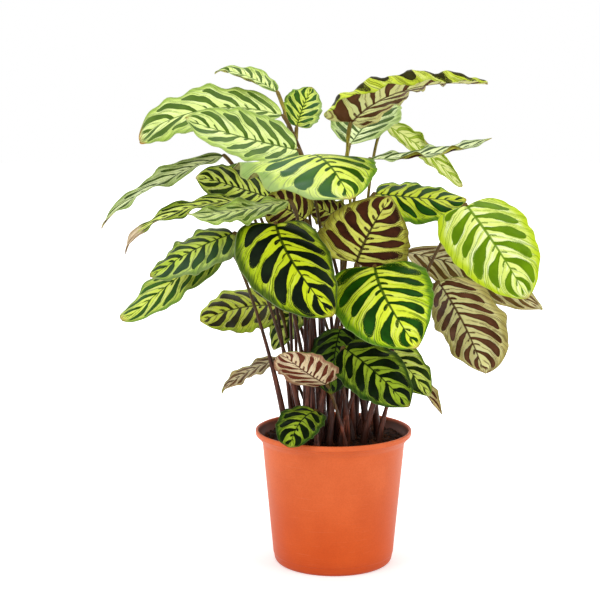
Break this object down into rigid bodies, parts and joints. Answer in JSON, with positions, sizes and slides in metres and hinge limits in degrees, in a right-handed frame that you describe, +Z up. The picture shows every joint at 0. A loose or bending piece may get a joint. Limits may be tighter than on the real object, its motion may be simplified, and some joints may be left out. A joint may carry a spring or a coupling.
{
  "type": "potted calathea",
  "caption": "Clump of patterned calathea leaves on long upright stalks, growing in peat in a round tapered nursery pot with a stepped rim.",
  "frame": {"origin": "middle of the pot's flat underside", "axes": "+Z up along the pot's axis, -Y towards the front of the plant"},
  "size_m": [0.492, 0.2865, 0.5405],
  "materials": {
    "pot": "satin terracotta-coloured plastic",
    "peat": null,
    "blade": null,
    "stalk": null
  },
  "bodies": {
    "root": {"pot": "pot", "peat": "peat", "blade_upper_left_front": "blade", "blade_left_mid": "blade", "blade_front_right": "blade", "blade_right_inner": "blade", "blade_front_left": "blade", "blade_centre_upright": "blade", "blade_far_left_upper": "blade", "blade_top_left": "blade", "blade_low_right_slim": "blade", "blade_left_pale": "blade", "blade_low_right": "blade", "blade_crown_back": "blade", "blade_left_upper": "blade", "blade_upper_left_back": "blade", "blade_low_left_reach": "blade", "blade_right_slim": "blade", "blade_right_under": "blade", "blade_far_left_lower": "blade", "blade_right_bright": "blade", "blade_crown_front": "blade", "blade_heart_under": "blade", "blade_top_right": "blade", "blade_left_inner": "blade", "blade_low_front": "blade", "blade_right_back": "blade", "blade_left_lower": "blade", "blade_right_low": "blade", "blade_crown_back_left": "blade", "blade_rim_small": "blade", "stalk_upper_left_front": "stalk", "stalk_left_mid": "stalk", "stalk_front_right": "stalk", "stalk_right_inner": "stalk", "stalk_front_left": "stalk", "stalk_centre_upright": "stalk", "stalk_far_left_upper": "stalk", "stalk_top_left": "stalk", "stalk_low_right_slim": "stalk", "stalk_left_pale": "stalk", "stalk_low_right": "stalk", "stalk_crown_back": "stalk", "stalk_left_upper": "stalk", "stalk_upper_left_back": "stalk", "stalk_low_left_reach": "stalk", "stalk_right_slim": "stalk", "stalk_right_under": "stalk", "stalk_far_left_lower": "stalk", "stalk_right_bright": "stalk", "stalk_crown_front": "stalk", "stalk_heart_under": "stalk", "stalk_top_right": "stalk", "stalk_left_inner": "stalk", "stalk_low_front": "stalk", "stalk_right_back": "stalk", "stalk_left_lower": "stalk", "stalk_right_low": "stalk", "stalk_crown_back_left": "stalk", "stalk_rim_small": "stalk"}
  },
  "joints": []
}
